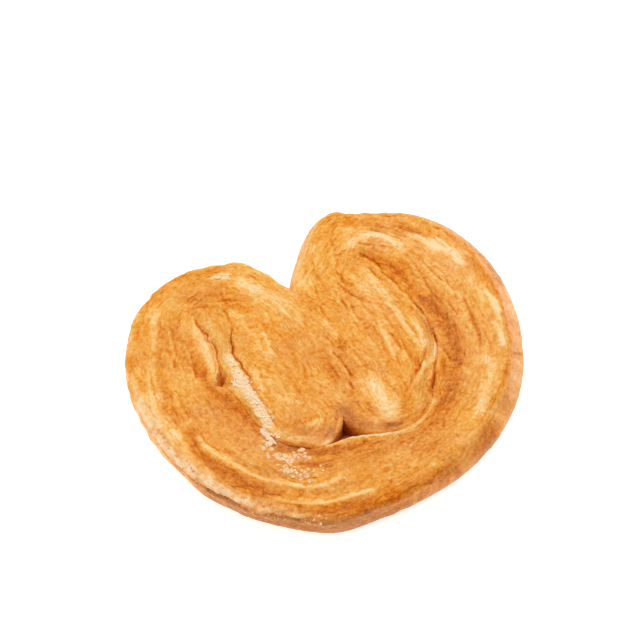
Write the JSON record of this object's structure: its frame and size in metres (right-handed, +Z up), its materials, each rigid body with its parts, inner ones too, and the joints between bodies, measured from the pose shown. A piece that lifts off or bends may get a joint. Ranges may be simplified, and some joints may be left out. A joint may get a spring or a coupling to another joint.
{
  "type": "palmier pastry",
  "caption": "Heart-shaped palmier: one folded strip of browned puff pastry, baked lying flat, with two lobes, a notch between them and a small pocket where the folds meet.",
  "frame": {"origin": "middle of the overall footprint, on the surface the pastry rests on", "axes": "+X from the left lobe to the right lobe, +Y from the rounded bottom to the notch between the lobes, +Z up through the thickness"},
  "size_m": [0.1042, 0.094, 0.0106],
  "materials": {
    "crust": "satin"
  },
  "bodies": {
    "root": {"pastry": "crust"}
  },
  "joints": []
}
